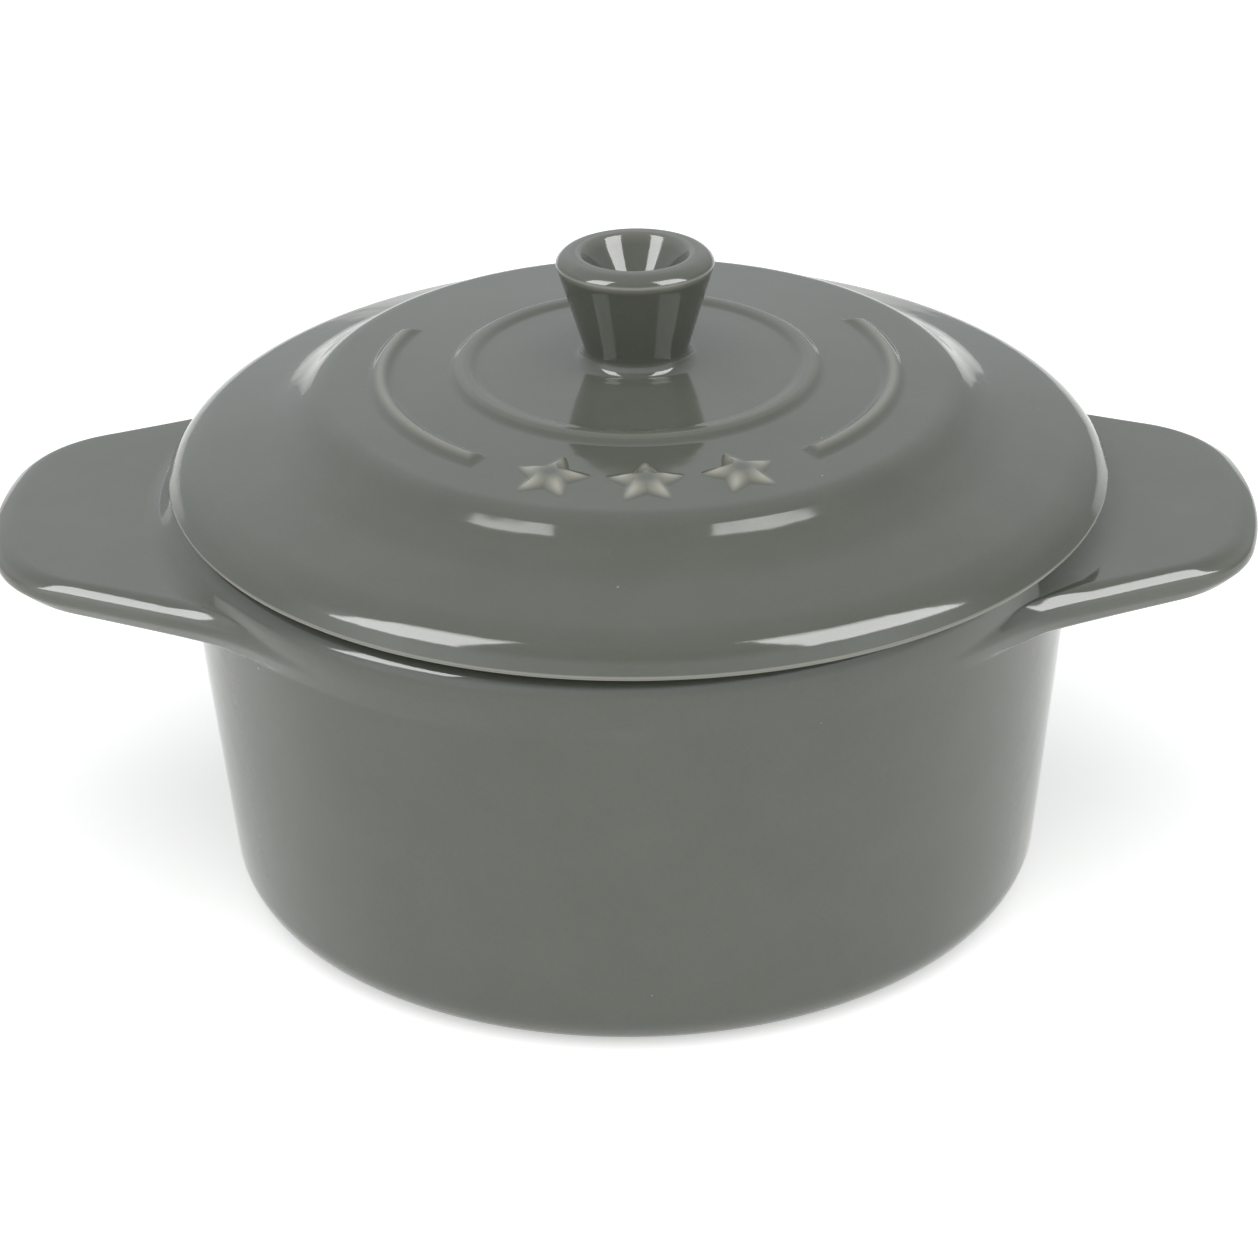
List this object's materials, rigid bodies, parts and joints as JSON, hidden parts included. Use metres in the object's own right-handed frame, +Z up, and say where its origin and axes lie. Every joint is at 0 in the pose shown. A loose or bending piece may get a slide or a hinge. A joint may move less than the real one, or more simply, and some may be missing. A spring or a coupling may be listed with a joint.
{
  "type": "mini cocotte",
  "caption": "Small round stoneware casserole with tab handles and a domed lid with a cupped knob, raised arcs and stars.",
  "frame": {"origin": "middle of the base, on the surface the pot stands on", "axes": "+X along the two handles, +Z up through the knob, -Y towards the stars on the lid"},
  "size_m": [0.1414, 0.1048, 0.0745],
  "materials": {
    "pot_glaze": "glossy mid-grey glaze on stoneware, bare foot ring",
    "lid_glaze": "glossy mid-grey glaze on stoneware, paler where it thins over edges"
  },
  "bodies": {
    "pot": {"pot": "pot_glaze"},
    "lid": {"lid": "lid_glaze"}
  },
  "joints": [
    {"name": "lid_lift", "type": "slide", "parent": "pot", "child": "lid", "axis": [0, 0, 1], "range_m": [0, 0.08]}
  ]
}
